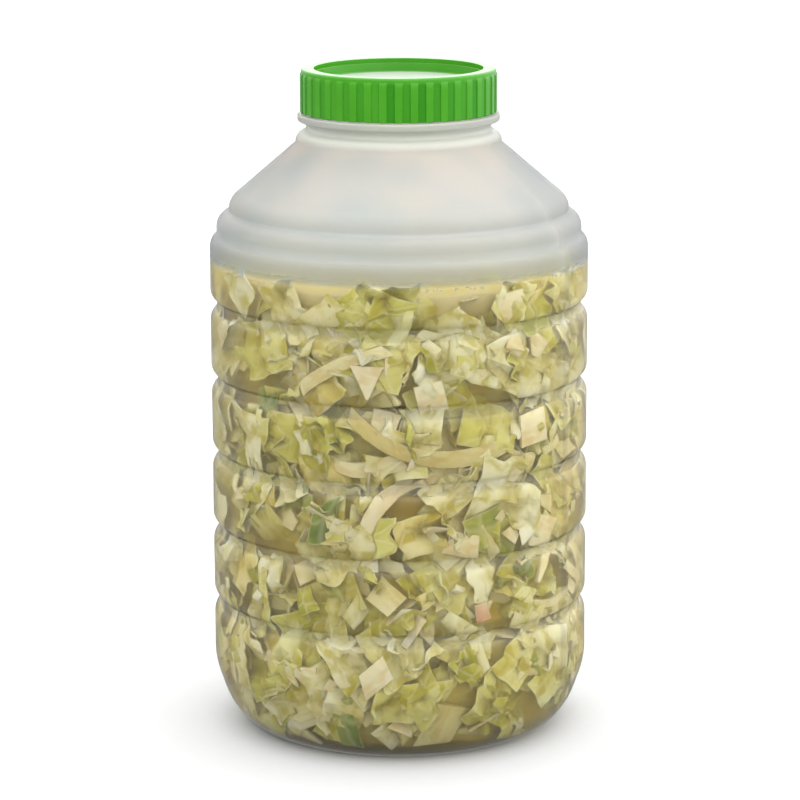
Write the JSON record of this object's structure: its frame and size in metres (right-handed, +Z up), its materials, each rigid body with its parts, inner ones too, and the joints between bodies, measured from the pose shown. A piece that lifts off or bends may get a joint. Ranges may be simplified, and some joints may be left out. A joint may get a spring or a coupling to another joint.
{
  "type": "plastic fermentation jar",
  "caption": "Translucent plastic jar with ring grooves, a sloping shoulder and a ribbed screw lid, filled with chopped cabbage in brine.",
  "frame": {"origin": "centre of the foot ring, on the surface that the jar stands on", "axes": "+Z up along the jar's axis to the lid, -Y towards the viewer of the picture, +X to the viewer's right"},
  "size_m": [0.168, 0.168, 0.2956],
  "materials": {
    "jar_plastic": "translucent milky polypropylene, blow-moulded, softly glossy",
    "lid_plastic": "bright green moulded polypropylene, softly glossy",
    "cabbage": "wet pale yellow-green cabbage pieces in brine"
  },
  "bodies": {
    "root": {"jar": "jar_plastic", "lid": "lid_plastic", "cabbage": "cabbage"}
  },
  "joints": []
}
